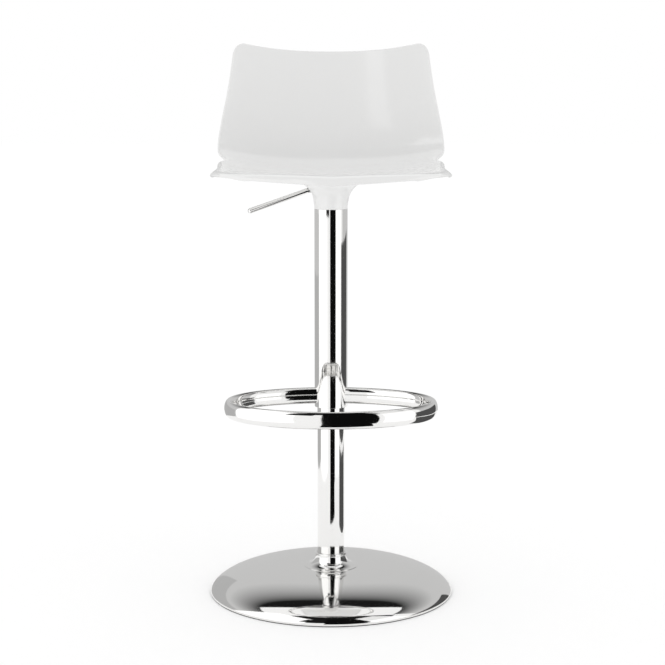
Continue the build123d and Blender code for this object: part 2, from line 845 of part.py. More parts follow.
with BuildPart() as seat_shell:
    thicken(shell_face, amount=shell_thickness)
    # Rounded top corners of the back.
    corner_edges = seat_shell.edges().filter_by(lambda e: e.length < 2 * shell_thickness)
    fillet(corner_edges.sort_by(Axis.Z)[-2:], radius=top_corner_radius)
    # Rounded front corners of the seat, cut from above.
    with BuildSketch(Plane.XY.offset(700)):
        with BuildLine():
            Spline(
                (front_corner_side_x, front_corner_side_y),
                (front_corner_end_x, front_corner_end_y),
                tangents=[(0, -1), (-1, -math.tan(math.radians(front_corner_slope)))],
            )
            Polyline(
                (front_corner_end_x, front_corner_end_y),
                (front_corner_end_x, front_corner_end_y - 60),
                (outside_x, front_corner_end_y - 60),
                (outside_x, front_corner_side_y),
                (front_corner_side_x, front_corner_side_y),
            )
        make_face()
        mirror(about=Plane.YZ)
    extrude(amount=90, mode=Mode.SUBTRACT)
    # The waist: a rounded notch in each side where the seat turns up into the back.
    with BuildSketch(Plane.XZ.offset(-200)) as waist:
        with BuildLine():
            Polyline(
                (waist_depth_x, waist_height),
                (waist_mouth_x, waist_height - waist_front_drop),
                (outside_x, waist_height - 2 * waist_front_drop),
                (outside_x, waist_height + 4 * waist_back_rise),
                (waist_mouth_x + 2, waist_height + 2.7 * waist_back_rise),
                (waist_depth_x + 8, waist_height + waist_back_rise),
                close=True,
            )
        make_face()
        fillet(waist.vertices().sort_by(Axis.X)[0:2], radius=waist_corner)
        mirror(about=Plane.YZ)
    extrude(amount=260, mode=Mode.SUBTRACT)
    # Thick round pad under the middle.
    add(shell_pad.part)
    # Blind pockets for the threaded inserts.
    with BuildSketch(Plane.XY.offset(plate_top)):
        with PolarLocations(seat_screw_circle, seat_screw_count, start_angle=45):
            Circle(insert_radius)
    extrude(amount=insert_height, mode=Mode.SUBTRACT)
seat_shell.part.label = "seat_shell"
export_step(seat_shell.part, "parts/seat_shell.step")
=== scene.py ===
import json
import math

import bmesh
import bpy
import numpy as np
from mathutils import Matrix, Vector


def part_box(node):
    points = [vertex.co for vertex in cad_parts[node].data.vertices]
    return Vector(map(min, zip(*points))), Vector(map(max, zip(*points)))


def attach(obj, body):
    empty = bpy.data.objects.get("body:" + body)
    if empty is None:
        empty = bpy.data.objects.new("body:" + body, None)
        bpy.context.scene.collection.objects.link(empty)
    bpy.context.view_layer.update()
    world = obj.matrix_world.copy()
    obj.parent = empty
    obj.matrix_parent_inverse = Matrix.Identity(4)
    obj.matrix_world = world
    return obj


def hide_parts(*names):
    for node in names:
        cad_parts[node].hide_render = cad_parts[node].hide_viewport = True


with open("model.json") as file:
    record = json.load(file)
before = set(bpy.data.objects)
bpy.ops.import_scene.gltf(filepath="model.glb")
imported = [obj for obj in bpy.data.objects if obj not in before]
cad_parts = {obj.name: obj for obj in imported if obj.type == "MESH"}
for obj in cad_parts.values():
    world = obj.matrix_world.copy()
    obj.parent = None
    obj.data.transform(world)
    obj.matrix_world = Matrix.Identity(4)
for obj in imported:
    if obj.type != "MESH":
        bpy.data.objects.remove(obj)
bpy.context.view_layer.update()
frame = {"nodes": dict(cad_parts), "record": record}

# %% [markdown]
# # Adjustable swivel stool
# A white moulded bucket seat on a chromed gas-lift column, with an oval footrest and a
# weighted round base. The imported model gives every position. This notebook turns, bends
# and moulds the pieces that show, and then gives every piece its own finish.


# %% [markdown]
# ## Shaders as sums
# A finish is easier to read as arithmetic than as boxes and wires. `Amount` wraps one
# number inside a shader, so `0.1 + 0.3 * grain` adds the nodes that work it out.


# %% Numbers inside a shader
class Amount:
    """One number inside a finish. Arithmetic on it adds the nodes that do the sum."""

    def __init__(self, finish, socket):
        self.finish = finish
        self.socket = socket

    def sum_node(self, operation, first, second):
        return self.finish.node(
            "ShaderNodeMath", {"operation": operation}, {0: first, 1: second}
        )

    def __add__(self, other):
        return self.sum_node("ADD", self, other)

    def __radd__(self, other):
        return self.sum_node("ADD", other, self)

    def __mul__(self, other):
        return self.sum_node("MULTIPLY", self, other)

    def __rmul__(self, other):
        return self.sum_node("MULTIPLY", other, self)


# %% [markdown]
# A `Finish` is one material. `node` adds any node from its type, its settings and what
# goes into its sockets, and `wear` sends a value to the surface shader itself.


# %% One material and its nodes
class Finish:
    """A procedural material, built up from values and patterns."""

    def __init__(self, name):
        self.material = bpy.data.materials.new(name)
        self.material.use_nodes = True
        self.tree = self.material.node_tree
        self.tree.nodes.clear()
        self.surface = self.tree.nodes.new("ShaderNodeBsdfPrincipled")
        output = self.tree.nodes.new("ShaderNodeOutputMaterial")
        self.tree.links.new(self.surface.outputs["BSDF"], output.inputs["Surface"])
        self.place = self.node("ShaderNodeTexCoord", out="Object")

    def plug(self, socket, value):
        if isinstance(value, Amount):
            self.tree.links.new(value.socket, socket)
        else:
            socket.default_value = value

    def node(self, kind, settings=None, inputs=None, out=0):
        made = self.tree.nodes.new(kind)
        for setting, value in (settings or {}).items():
            setattr(made, setting, value)
        for socket, value in (inputs or {}).items():
            self.plug(made.inputs[socket], value)
        return Amount(self, made.outputs[out])

    def wear(self, **values):
        for words, value in values.items():
            name = " ".join(word.capitalize() for word in words.split("_"))
            name = name.replace("Ior", "IOR")
            self.plug(self.surface.inputs[name], value)

    def grain(self, scale, detail, roughness=0.5, stretch=(1, 1, 1)):
        """Soft cloudy pattern from 0 to 1, with cells about 1/scale metres across."""
        place = self.node(
            "ShaderNodeMapping", {}, {"Vector": self.place, "Scale": stretch}
        )
        return self.node(
            "ShaderNodeTexNoise",
            {},
            {
                "Vector": place,
                "Scale": scale,
                "Detail": detail,
                "Roughness": roughness,
            },
        )

    def above(self, pattern, low, high):
        """0 below low, 1 above high, and a straight ramp between."""
        return self.node(
            "ShaderNodeMapRange",
            {"clamp": True},
            {"Value": pattern, "From Min": low, "From Max": high},
        )

    def blend(self, share, first, second):
        """One colour turning into another as share goes from 0 to 1."""
        return self.node(
            "ShaderNodeMix",
            {"data_type": "RGBA"},
            {0: share, 6: (*first, 1), 7: (*second, 1)},
            out=2,
        )

    def relief(self, height, depth):
        """Raises the surface by height times depth, in metres."""
        self.wear(
            normal=self.node(
                "ShaderNodeBump",
                {},
                {"Height": height, "Distance": depth, "Strength": 1.0},
                out="Normal",
            )
        )


# %% [markdown]
# ## Chrome plate
# Bright nickel and chrome over polished steel. The plating is never quite flat: it has
# a faint orange peel, and handling leaves thin smears that spread the reflections.


# %% Chrome
CHROME_TINT = (0.88, 0.875, 0.865)
SMEARED_TINT = tuple(0.97 * c for c in CHROME_TINT)


def chrome(name, smear=0.05, peel=0.000004):
    """Mirror plating; smear is how much roughness handling adds, peel is in metres."""
    finish = Finish(name)
    smears = finish.above(finish.grain(9.0, 5.0, 0.62), 0.5, 0.8)
    dust = finish.above(finish.grain(420.0, 2.0), 0.66, 0.72)
    finish.wear(
        metallic=1.0,
        base_color=finish.blend(smears * 0.4, CHROME_TINT, SMEARED_TINT),
        roughness=0.055 + smear * smears + 0.12 * dust,
    )
    finish.relief(finish.grain(55.0, 2.0), peel)
    return finish.material


chrome_plate = chrome("chrome plate")
chrome_dome = chrome("chrome dome", smear=0.06, peel=0.000006)
print("chrome finishes made")

# %% [markdown]
# ## Moulded plastic
# The seat is glossy white plastic straight from a polished mould. It keeps a little
# orange peel, and a few soft patches where hands and clothes have dulled the gloss.


# %% White plastics
def moulded(name, colour, gloss, coat):
    """Plastic as it leaves the mould; gloss is its roughness where nobody has rubbed it."""
    finish = Finish(name)
    clouds = finish.grain(6.0, 4.0, 0.55)
    rubbed = finish.above(finish.grain(14.0, 6.0, 0.6), 0.52, 0.75)
    finish.wear(
        base_color=finish.blend(clouds, colour, tuple(0.985 * c for c in colour)),
        roughness=gloss + 0.08 * rubbed,
        coat_weight=coat,
        coat_roughness=0.05,
        ior=1.5,
    )
    finish.relief(finish.grain(160.0, 2.0), 0.000005)
    return finish.material


seat_white = moulded("seat plastic", (0.85, 0.85, 0.845), 0.13, 0.4)
neck_white = moulded("neck plastic", (0.92, 0.92, 0.915), 0.34, 0.1)
print("white plastics made")

# %% [markdown]
# ## What hides inside
# Cast ballast, painted and zinc-plated steel, turned steel, nylon, rubber and brass.
# Each is a base colour broken up by its own pattern: casting grain, brush lines,
# crystals of zinc or the fine marks of a lathe.


# %% Hidden metals and plastics
def rough_solid(name, dark, light, metallic, roughness, cells, depth, stretch=(1, 1, 1)):
    """A finish whose colour, roughness and height all follow one grain."""
    finish = Finish(name)
    pattern = finish.grain(cells, 6.0, 0.6, stretch)
    finish.wear(
        metallic=metallic,
        base_color=finish.blend(pattern, dark, light),
        roughness=roughness - 0.06 + 0.16 * pattern,
    )
    finish.relief(pattern, depth)
    return finish.material


lathe = (1, 1, 14)
finishes = {
    "cast_ballast": rough_solid(
        "cast ballast", (0.03, 0.03, 0.032), (0.08, 0.08, 0.082), 0.6, 0.6, 160, 0.0003
    ),
    "zinc_steel": rough_solid(
        "zinc plate", (0.50, 0.50, 0.49), (0.70, 0.70, 0.66), 1.0, 0.34, 240, 0.00003
    ),
    "plain_steel": rough_solid(
        "turned steel", (0.42, 0.42, 0.43), (0.58, 0.58, 0.6), 1.0, 0.26, 180, 2e-05, lathe
    ),
    "black_steel": rough_solid(
        "black paint", (0.016, 0.016, 0.018), (0.03, 0.03, 0.032), 0.0, 0.36, 300, 0.00003
    ),
    "guide_plastic": rough_solid(
        "black nylon", (0.02, 0.02, 0.022), (0.04, 0.04, 0.042), 0.0, 0.5, 420, 0.00002
    ),
    "pale_nylon": rough_solid(
        "natural nylon", (0.68, 0.66, 0.58), (0.78, 0.76, 0.69), 0.0, 0.42, 200, 0.00002
    ),
    "black_rubber": rough_solid(
        "black rubber", (0.012, 0.012, 0.013), (0.035, 0.035, 0.036), 0.0, 0.72, 260, 0.0001
    ),
    "brass": rough_solid(
        "turned brass", (0.60, 0.42, 0.16), (0.78, 0.58, 0.26), 1.0, 0.28, 180, 2e-05, lathe
    ),
    "chrome": chrome_plate,
    "shell_plastic": seat_white,
    "neck_plastic": neck_white,
}
slots = {row["node"]: row["material_slot"] for row in frame["record"]["subparts"]}
for node_name, carried in frame["nodes"].items():
    carried.data.materials.clear()
    carried.data.materials.append(finishes[slots[node_name]])
print(len(slots), "packed pieces have a finish")

# %% [markdown]
# ## Turning
# Tubes, rings and domes are half sections spun about the column. Most corners that show
# are rounded, because a real edge always catches a line of light.


# %% The lathe
MM = 0.001
TURN_STEPS = 256
ROUND_STEPS = 5
NEARLY_STRAIGHT = math.radians(160)


def rounded(corners, radius):
    """A closed outline with each corner replaced by a small arc."""
    points = []
    count = len(corners)
    for index in range(count):
        here = Vector(corners[index])
        before = Vector(corners[index - 1]) - here
        after = Vector(corners[(index + 1) % count]) - here
        angle = before.angle(after)
        if angle > NEARLY_STRAIGHT:
            points.append(here)
            continue
        reach = min(radius / math.tan(angle / 2), before.length / 2, after.length / 2)
        start = here + before.normalized() * reach
        end = here + after.normalized() * reach
        for step in range(ROUND_STEPS + 1):
            share = step / ROUND_STEPS
            points.append(
                start * (1 - share) ** 2
                + here * 2 * share * (1 - share)
                + end * share**2
            )
    return points


def mesh_piece(name, vertices, faces, finish, body, sharp=50):
    """One smooth-shaded piece in the stool's frame that moves with a body."""
    mesh = bpy.data.meshes.new(name)
    mesh.from_pydata([tuple(v) for v in vertices], [], faces)
    bm = bmesh.new()
    bm.from_mesh(mesh)
    bmesh.ops.recalc_face_normals(bm, faces=bm.faces)
    bm.to_mesh(mesh)
    bm.free()
    for polygon in mesh.polygons:
        polygon.use_smooth = True
    mesh.set_sharp_from_angle(angle=math.radians(sharp))
    mesh.materials.append(finish)
    piece = bpy.data.objects.new(name, mesh)
    bpy.context.scene.collection.objects.link(piece)
    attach(piece, body)
    return piece


def skin_over(name, rings, finish, body):
    """A closed skin over a row of rings, each a list of points, capped at both ends."""
    count = len(rings[0])
    vertices = [point for ring in rings for point in ring]
    faces = []
    for ring_number in range(len(rings) - 1):
        this = ring_number * count
        for index in range(count):
            after = (index + 1) % count
            faces.append((this + index, this + after, this + count + after, this + count + index))
    last = (len(rings) - 1) * count
    faces.append(tuple(range(count)))
    faces.append(tuple(last + index for index in range(count)))
    return mesh_piece(name, vertices, faces, finish, body)


def turned(name, outline, finish, body):
    """A closed half section (radius, height) spun about the column axis."""
    vertices = []
    for step in range(TURN_STEPS):
        angle = 2 * math.pi * step / TURN_STEPS
        for radius, height in outline:
            vertices.append((radius * math.cos(angle), radius * math.sin(angle), height))
    count = len(outline)
    faces = []
    for step in range(TURN_STEPS):
        this = step * count
        following = (step + 1) % TURN_STEPS * count
        for index in range(count):
            after = (index + 1) % count
            faces.append((this + index, this + after, following + after, following + index))
    return mesh_piece(name, vertices, faces, finish, body)


def tube(node, name, wall, soft_edge, finish, body):
    """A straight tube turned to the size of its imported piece."""
    low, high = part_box(node)
    outline = rounded(
        [
            (high.x - wall, low.z),
            (high.x, low.z),
            (high.x, high.z),
            (high.x - wall, high.z),
        ],
        soft_edge,
    )
    piece = turned(name, outline, finish, body)
    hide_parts(node)
    return piece


# %% [markdown]
# ## Column
# Two stock steel tubes, one sliding over the other. Both are drawn, ground, polished
# and plated, and the cut ends are just broken with a file.

# %% Two tubes
TUBE_WALL = 2.0 * MM
tube("sleeve_tube", "sleeve", TUBE_WALL, 0.5 * MM, chrome_plate, "seat")
tube("lower_tube", "lower_column", TUBE_WALL, 0.5 * MM, chrome_plate, "base")

# %% [markdown]
# ## Base
# The dome is pressed from one sheet over a former and its rim is curled under. The
# curve is a single sweep: nearly flat by the column and falling ever faster to the rim.

# %% Dome
DOME_SKIN = 1.5 * MM
DOME_SHOULDER = 208.2 * MM
DOME_FLAT = 52.0 * MM
DOME_RIM_TOP = 5.0 * MM
DOME_RIM_RISE = 0.55 * MM
DOME_RIM_CURL = 0.6 * MM
DOME_RIM_ROUND = 0.45 * MM
DOME_RIM_BREAK = 0.12 * MM
DOME_HOLE = 27.0 * MM
DOME_STEPS = 96


def bezier(start, first, second, end, steps):
    """Points along one cubic curve."""
    line = []
    for step in range(steps + 1):
        t = step / steps
        weights = ((1 - t) ** 3, 3 * t * (1 - t) ** 2, 3 * t * t * (1 - t), t**3)
        pulls = zip((start, first, second, end), weights)
        line.append(sum((Vector(p) * w for p, w in pulls), Vector((0, 0))))
    return line


low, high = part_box("base_dome")
skin_out = bezier(
    (high.x, DOME_RIM_TOP),
    (high.x, DOME_RIM_TOP + DOME_RIM_RISE),
    (DOME_SHOULDER, high.z),
    (DOME_FLAT, high.z),
    DOME_STEPS,
)
skin_in = bezier(
    (DOME_FLAT, high.z - DOME_SKIN),
    (DOME_SHOULDER - DOME_SKIN / 2, high.z - DOME_SKIN),
    (high.x - DOME_SKIN, DOME_RIM_TOP),
    (high.x - DOME_SKIN, DOME_RIM_TOP - DOME_RIM_CURL),
    DOME_STEPS // 2,
)
rim = [
    Vector((high.x - DOME_SKIN, low.z)),
    Vector((high.x - DOME_RIM_ROUND, low.z)),
    Vector((high.x - DOME_RIM_BREAK, low.z + DOME_RIM_BREAK)),
    Vector((high.x, low.z + DOME_RIM_ROUND)),
]
hole = [
    Vector((DOME_HOLE, high.z)),
    Vector((DOME_HOLE, high.z - DOME_SKIN)),
]
dome = turned("dome", skin_out + hole + skin_in + rim, chrome_dome, "base")
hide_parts("base_dome")
print("dome radius", round(high.x, 4), "height", round(high.z, 4))

# %% [markdown]
# A trumpet-shaped collar hides the hole that the column comes through, and a thin bright
# lip finishes it. Both would be spun from thin sheet and polished with the dome.

# %% Collar and its lip
low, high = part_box("foot_collar")
tube_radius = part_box("lower_tube")[1].x
collar_neck = 28.0 * MM
collar_edge = 0.4 * MM
foot_of_collar = [
    Vector((tube_radius, high.z)),
    Vector((tube_radius, low.z)),
    Vector((high.x, low.z)),
]
bell = bezier(
    (high.x, low.z + collar_edge),
    (collar_neck + 9 * MM, low.z + collar_edge + 0.5 * MM),
    (collar_neck + 0.4 * MM, low.z + 8 * MM),
    (collar_neck, high.z),
    48,
)
collar = turned(
    "collar",
    bell + foot_of_collar,
    chrome_plate,
    "base",
)
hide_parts("foot_collar")

low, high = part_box("collar_trim_ring")
lip = turned(
    "collar_lip",
    rounded(
        [(tube_radius, low.z), (high.x, low.z), (high.x, high.z), (tube_radius, high.z)],
        1.3 * MM,
    ),
    chrome_plate,
    "base",
)
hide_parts("collar_trim_ring")
print("collar and lip turned")

# %% [markdown]
# ## Footrest
# One length of oval tube, rolled to a wide loop and welded to the sleeve at both ends.
# The section is an ellipse standing on its narrow end.

# %% Footrest
low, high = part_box("footrest_ring")
REST_TALL = high.z - low.z
REST_DEEP = 15.0 * MM
REST_STEPS = 320
REST_ROUND = 36
REST_COPE = 24.0 * MM
rest_half_width = high.x - REST_DEEP / 2
rest_half_depth = 119.0 * MM
rest_front = low.y + REST_DEEP / 2
rest_middle = rest_front + rest_half_depth
rest_level = (low.z + high.z) / 2
section = []
for step in range(REST_ROUND):
    angle = 2 * math.pi * step / REST_ROUND
    section.append((REST_DEEP / 2 * math.cos(angle), REST_TALL / 2 * math.sin(angle)))
# The tube's two ends are cut this far from the middle, inside the sleeve's outer face.
cut = math.asin(REST_COPE / rest_half_width)
rings = []
for step in range(REST_STEPS + 1):
    angle = math.pi / 2 + cut + (2 * math.pi - 2 * cut) * step / REST_STEPS
    centre = Vector(
        (rest_half_width * math.cos(angle), rest_middle + rest_half_depth * math.sin(angle))
    )
    outward = Vector(
        (math.cos(angle) / rest_half_width, math.sin(angle) / rest_half_depth)
    ).normalized()
    ring = []
    for across, up in section:
        point = centre + outward * across
        ring.append((point.x, point.y, rest_level + up))
    rings.append(ring)
footrest = skin_over("footrest", rings, chrome_plate, "seat")
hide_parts("footrest_ring")
print("footrest is", round(high.x - low.x, 4), "wide and", round(high.y - low.y, 4), "deep")

# %% [markdown]
# ## Height lever
# A plain round bar, bent once by hand over a block and plated. Its outer end is
# tumbled smooth, so it's nearly a half ball. The bar's middle line comes first.

# %% The lever's middle line
low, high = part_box("release_lever")
LEVER_RADIUS = 4.75 * MM
LEVER_ELBOW = 41.0 * MM
LEVER_TIP = 150.0 * MM
LEVER_TIP_HEIGHT = 703.5 * MM
BEND_STEPS = 12
END_STEPS = 8
SMALLEST_RING = 0.05 * MM
lever_level = high.z - LEVER_RADIUS
elbow = Vector((-LEVER_ELBOW, 0, lever_level))
tip = Vector((-LEVER_TIP, 0, LEVER_TIP_HEIGHT))
inner = Vector((high.x, 0, lever_level))
bend = 9.0 * MM
into = (inner - elbow).normalized()
out_of = (tip - elbow).normalized()
bend_reach = bend / math.tan(into.angle(out_of) / 2) + 2 * MM
path = [inner]
for step in range(BEND_STEPS + 1):
    share = step / BEND_STEPS
    path.append(
        (elbow + into * bend_reach) * (1 - share) ** 2
        + elbow * 2 * share * (1 - share)
        + (elbow + out_of * bend_reach) * share**2
    )
path.append(tip - out_of * LEVER_RADIUS)
radii = [LEVER_RADIUS] * len(path)
for step in range(1, END_STEPS + 1):
    angle = math.pi / 2 * step / END_STEPS
    path.append(tip - out_of * LEVER_RADIUS * (1 - math.sin(angle)))
    radii.append(max(LEVER_RADIUS * math.cos(angle), SMALLEST_RING))
print("the lever's line has", len(path), "points")

# %% [markdown]
# A ring stands square to the line at each of its points, and one skin covers them all.

# %% Lever
LEVER_SIDES = 32
rings = []
for index, (centre, radius) in enumerate(zip(path, radii)):
    ahead = path[min(index + 1, len(path) - 1)] - path[max(index - 1, 0)]
    ahead.normalize()
    side = Vector((0, 1, 0))
    up = ahead.cross(side)
    ring = []
    for step in range(LEVER_SIDES):
        angle = 2 * math.pi * step / LEVER_SIDES
        ring.append(centre + side * radius * math.cos(angle) + up * radius * math.sin(angle))
    rings.append(ring)
lever = skin_over("lever", rings, chrome_plate, "lever")
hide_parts("release_lever")
print("lever reaches", round(-low.x, 4), "from the column")

# %% [markdown]
# ## Seat shell
# One injection-moulded skin. Two lines describe it: the middle line from under the
# front lip, along the seat and up the back, and the side line beside it. Every row of
# the skin hangs between them in a shallow dish. The outline then narrows at the rounded
# corners and at the pinched waist, where the seat turns up into the back.

# %% Lines of the shell
MIDDLE_LINE = [
    (-213.5, 761.5),
    (-214.5, 767.5),
    (-209.0, 775.0),
    (-193.0, 778.5),
    (-150.0, 774.0),
    (-90.0, 768.0),
    (-20.0, 765.0),
    (40.0, 766.0),
    (88.0, 774.0),
    (118.0, 794.0),
    (134.0, 826.0),
    (147.0, 872.0),
    (159.0, 930.0),
    (170.0, 992.0),
]
SIDE_LINE = [
    (206.0, -183.0, 776.5),
    (206.5, -183.5, 778.5),
    (207.0, -180.0, 780.5),
    (208.0, -167.0, 783.0),
    (209.0, -130.0, 786.0),
    (209.5, -80.0, 787.5),
    (209.5, -20.0, 788.5),
    (209.5, 30.0, 791.0),
    (209.8, 62.0, 795.5),
    (209.8, 85.0, 806.0),
    (209.0, 102.0, 828.0),
    (202.3, 115.0, 870.0),
    (190.5, 130.0, 932.0),
    (180.0, 147.0, 1010.5),
]
# How far the skin has rolled down by the time it reaches the side, at each point.
EDGE_DROPS = [1, 1.5, 3, 5, 11, 13, 13, 12, 7, 2, 0, 0, 0, 0]
ROLL_WIDTH = 11.0
SHELL_THICKNESS = 5.0 * MM
DISH_POWER = 2.4


def smooth_line(points, stations, wanted):
    """A natural cubic curve through points, read at the wanted stations."""
    points = np.array(points, float)
    stations = np.array(stations, float)
    gaps = np.diff(stations)
    slopes = np.diff(points, axis=0) / gaps[:, None]
    count = len(points)
    system = np.eye(count)
    right = np.zeros_like(points)
    for i in range(1, count - 1):
        system[i, i - 1 : i + 2] = gaps[i - 1], 2 * (gaps[i - 1] + gaps[i]), gaps[i]
        right[i] = 6 * (slopes[i] - slopes[i - 1])
    bends = np.linalg.solve(system, right)
    answer = []
    for value in wanted:
        i = int(np.clip(np.searchsorted(stations, value) - 1, 0, count - 2))
        gap = gaps[i]
        left, rest = value - stations[i], stations[i + 1] - value
        answer.append(
            (bends[i] * rest**3 + bends[i + 1] * left**3) / (6 * gap)
            + (points[i] / gap - bends[i] * gap / 6) * rest
            + (points[i + 1] / gap - bends[i + 1] * gap / 6) * left
        )
    return np.array(answer)


steps_along = np.hypot(*np.diff(np.array(MIDDLE_LINE), axis=0).T)
travelled = np.concatenate([[0], np.cumsum(steps_along)])
LENGTH = travelled[-1]
print("the middle line is", round(LENGTH, 1), "mm long")

# %% [markdown]
# The outline is drawn by how far each row reaches to the side. Rows are packed closely
# at the two ends, where that reach changes fastest.

# %% Outline and skin
SHELL_COLUMNS = 96
FRONT_CORNER = 58.0
TOP_CORNER = 18.0
WAIST_DEPTH = 15.0
WAIST_AT = 794.0
WAIST_BELOW = 3.0
WAIST_ABOVE = 9.0
EDGE_SWELL = 2.0
EDGE_CROWDING = 1.6
LIP_ARCH = 3.5
LIP_REACH = 80.0
END_ROWS = 30
MIDDLE_ROWS = 150


def rows_along():
    """Stations from the lip to the top, closer together at both ends."""
    ends = 0.5 - 0.5 * np.cos(np.linspace(0, math.pi, 2 * END_ROWS + 1))
    front = ends[: END_ROWS + 1] * 2 * FRONT_CORNER
    top = LENGTH - 2 * TOP_CORNER + ends[END_ROWS:] * 2 * TOP_CORNER
    between = np.linspace(front[-1], top[0], MIDDLE_ROWS)
    return np.concatenate([front[:-1], between, top[1:]])


def corner_loss(distance, radius):
    """How much a rounded corner takes off the width, that far from the end."""
    inside = np.clip(radius - distance, 0, radius)
    return radius - np.sqrt(radius**2 - inside**2)


stations = rows_along()
middle = smooth_line(MIDDLE_LINE, travelled, stations)
side = smooth_line(SIDE_LINE, travelled, stations)
reach = (
    side[:, 0]
    - corner_loss(stations, FRONT_CORNER)
    - corner_loss(LENGTH - stations, TOP_CORNER)
)
drops = smooth_line([(drop, 0) for drop in EDGE_DROPS], travelled, stations)[:, 0]
off_waist = side[:, 2] - drops - WAIST_AT
waist_reach = np.where(off_waist < 0, WAIST_BELOW, WAIST_ABOVE)
reach = reach - WAIST_DEPTH * np.exp(-((off_waist / waist_reach) ** 2)) - EDGE_SWELL
rows = []
for row_number in range(len(stations)):
    half = side[row_number, 0]
    even = np.linspace(-1, 1, SHELL_COLUMNS + 1)
    # Columns crowd together towards both edges, where the skin rolls over.
    across = np.sign(even) * (1 - (1 - np.abs(even)) ** EDGE_CROWDING) * reach[row_number]
    dish = np.abs(across / half) ** DISH_POWER
    y = middle[row_number, 0] + (side[row_number, 1] - middle[row_number, 0]) * dish
    rolled = np.clip(1 - (reach[row_number] - np.abs(across)) / ROLL_WIDTH, 0, 1)
    z = middle[row_number, 1] + (side[row_number, 2] - middle[row_number, 1]) * dish
    z = z - drops[row_number] * rolled**2
    near_front = max(0, 1 - stations[row_number] / LIP_REACH)
    z = z + LIP_ARCH * near_front * np.sin(math.pi * np.abs(across / half))
    rows.append(np.stack([across, y, z], axis=1) * MM)
skin = np.array(rows)
print("the sitting face has", skin.shape[0], "rows of", skin.shape[1], "points")

# %% [markdown]
# The skin gets its thickness by stepping down its own normals, and the edge between the
# two faces is rolled over in eight steps, like the parting edge of a polished mould.

# %% Thickness and rolled edge
along = np.gradient(skin, axis=0)
sideways = np.gradient(skin, axis=1)
normals = np.cross(sideways, along)
normals /= np.linalg.norm(normals, axis=2, keepdims=True)
# The normal points to the sitter, so the outer face lies the other way.
if normals[len(stations) // 3, SHELL_COLUMNS // 2, 2] < 0:
    normals = -normals
row_count, column_count = skin.shape[:2]
loop = (
    [(0, c) for c in range(column_count)]
    + [(r, column_count - 1) for r in range(1, row_count)]
    + [(row_count - 1, c) for c in range(column_count - 2, -1, -1)]
    + [(r, 0) for r in range(row_count - 2, 0, -1)]
)
rim_points = np.array([skin[r, c] for r, c in loop])
rim_normals = np.array([normals[r, c] for r, c in loop])
rim_along = np.roll(rim_points, -1, axis=0) - np.roll(rim_points, 1, axis=0)
rim_out = np.cross(rim_along, rim_normals)
rim_out /= np.linalg.norm(rim_out, axis=1, keepdims=True)
EDGE_ROUND = EDGE_SWELL * MM
EDGE_STEPS = 8
vertices = [tuple(v) for v in skin.reshape(-1, 3)]
vertices += [tuple(v) for v in (skin - normals * SHELL_THICKNESS).reshape(-1, 3)]
rings = []
for step in range(1, EDGE_STEPS):
    angle = math.pi * step / EDGE_STEPS
    ring = (
        rim_points
        + rim_out * EDGE_ROUND * math.sin(angle)
        - rim_normals * SHELL_THICKNESS * (1 - math.cos(angle)) / 2
    )
    rings.append(len(vertices))
    vertices += [tuple(v) for v in ring]
faces = []
under = row_count * column_count
for r in range(row_count - 1):
    for c in range(column_count - 1):
        a = r * column_count + c
        quad = (a, a + 1, a + column_count + 1, a + column_count)
        faces.append(quad)
        faces.append(tuple(under + i for i in reversed(quad)))
top_ring = [r * column_count + c for r, c in loop]
ring_indices = [top_ring]
for first in rings:
    ring_indices.append([first + i for i in range(len(loop))])
ring_indices.append([under + i for i in top_ring])
for upper, below in zip(ring_indices, ring_indices[1:]):
    for i in range(len(loop)):
        after = (i + 1) % len(loop)
        faces.append((upper[i], upper[after], below[after], below[i]))
shell = mesh_piece("shell", vertices, faces, seat_white, "seat", sharp=75)
print("shell mesh has", len(shell.data.vertices), "points")

# %% [markdown]
# Under the middle the shell thickens into a round pad with a concave flare. It's what
# the mounting plate is screwed to.

# %% Pad
PAD_RADIUS = 51.0 * MM
PAD_FLARE = 64.0 * MM
PAD_CENTRE = 0.5 * MM
PAD_STEPS = 16
pad_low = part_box("neck_cover")[1].z
pad_top = 762.0 * MM
pad_underside = [
    Vector((PAD_CENTRE, pad_top)),
    Vector((PAD_CENTRE, pad_low)),
    Vector((PAD_RADIUS - 0.5 * MM, pad_low)),
]
pad = turned(
    "shell_pad",
    pad_underside
    + bezier(
        (PAD_RADIUS, pad_low + 0.4 * MM),
        (PAD_RADIUS + 2 * MM, pad_low + 4 * MM),
        (PAD_RADIUS + 6 * MM, pad_top - 3 * MM),
        (PAD_FLARE, pad_top),
        PAD_STEPS,
    ),
    seat_white,
    "seat",
)
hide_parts("seat_shell")
print("pad from", round(pad_low, 4), "to", round(pad_top, 4))

# %% [markdown]
# ## Studio
# A pale, dull floor under an even white sky. The camera sees both, and the floor takes
# the soft shadow of the stool.


# %% Surround and floor
def even_glow(level):
    """A glow that's the same at every height."""
    return (level, level, 0, 2)


def plain_stage(name, colour, glow):
    """A dull surface that shines by itself. The glow is its level low down, its level
    high up, and the two heights in metres that the change runs between."""
    finish = Finish(name)
    cloud = finish.grain(1.5, 2.0)
    low_level, high_level, start, stop = glow
    height = finish.node("ShaderNodeSeparateXYZ", {}, {"Vector": finish.place}, out="Z")
    rise = finish.above(height, start, stop)
    finish.wear(
        base_color=finish.blend(cloud, colour, tuple(0.99 * c for c in colour)),
        roughness=0.9,
        specular_ior_level=0.0,
        emission_strength=1.0,
        emission_color=finish.blend(rise, (low_level,) * 3, (high_level,) * 3),
    )
    return finish.material


world = bpy.data.worlds.new("white room")
bpy.context.scene.world = world
world.use_nodes = True
world.node_tree.nodes["Background"].inputs["Color"].default_value = (1, 1, 1, 1)
world.node_tree.nodes["Background"].inputs["Strength"].default_value = 1.0

